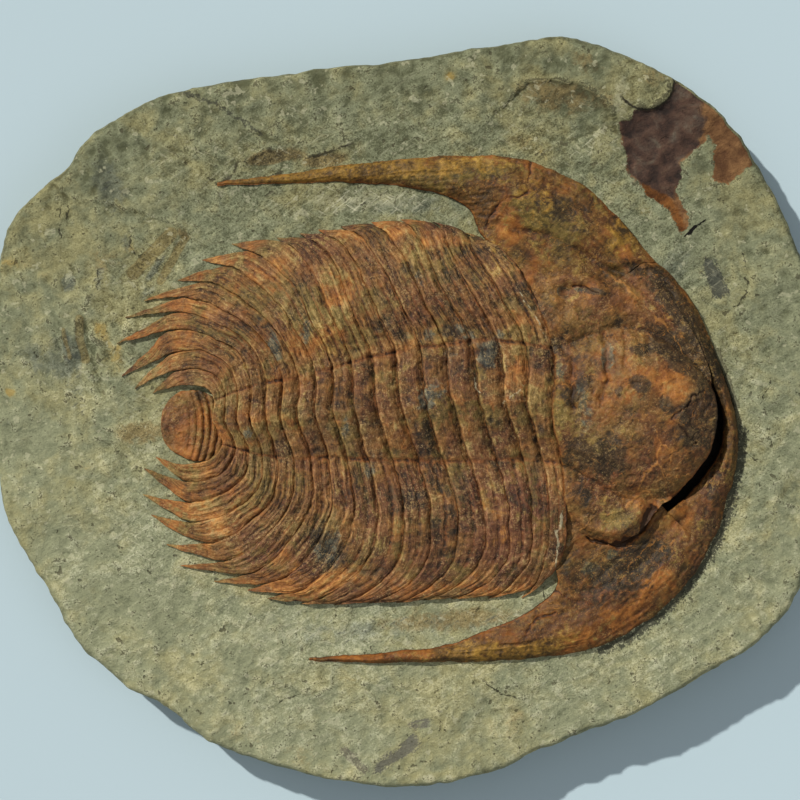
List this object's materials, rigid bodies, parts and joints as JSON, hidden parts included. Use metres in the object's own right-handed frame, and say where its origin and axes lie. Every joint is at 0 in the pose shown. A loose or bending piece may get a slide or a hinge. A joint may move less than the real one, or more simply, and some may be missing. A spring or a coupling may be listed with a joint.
{
  "type": "fossil trilobite",
  "caption": "Large spiny trilobite fossil with separate head, body and tail plates, bedded on a rounded block of grey-green mudstone that lies flat on its sawn back.",
  "frame": {"origin": "middle of the block's box at its flat back", "axes": "+X from the tail to the head, +Y the animal's left side, +Z out of the bedding plane"},
  "size_m": [0.374, 0.342, 0.0466],
  "materials": {
    "stone": "rough grey-green mudstone",
    "head_shell": "brown calcite shell with orange veins",
    "cheek_shell": "dark red-brown shell",
    "body_shell": "brown shell with fine wrinkles and orange edges",
    "tail_shell": "orange-brown shell"
  },
  "bodies": {
    "root": {"matrix_slab": "stone", "cranidium": "head_shell", "front_border": "cheek_shell", "left_free_cheek": "cheek_shell", "right_free_cheek": "cheek_shell", "thoracic_segment_01": "body_shell", "thoracic_segment_02": "body_shell", "thoracic_segment_03": "body_shell", "thoracic_segment_04": "body_shell", "thoracic_segment_05": "body_shell", "thoracic_segment_06": "body_shell", "thoracic_segment_07": "body_shell", "thoracic_segment_08": "body_shell", "thoracic_segment_09": "body_shell", "thoracic_segment_10": "body_shell", "thoracic_segment_11": "body_shell", "thoracic_segment_12": "body_shell", "thoracic_segment_13": "body_shell", "thoracic_segment_14": "body_shell", "thoracic_segment_15": "body_shell", "thoracic_segment_16": "body_shell", "thoracic_segment_17": "body_shell", "pygidium": "tail_shell"}
  },
  "joints": []
}
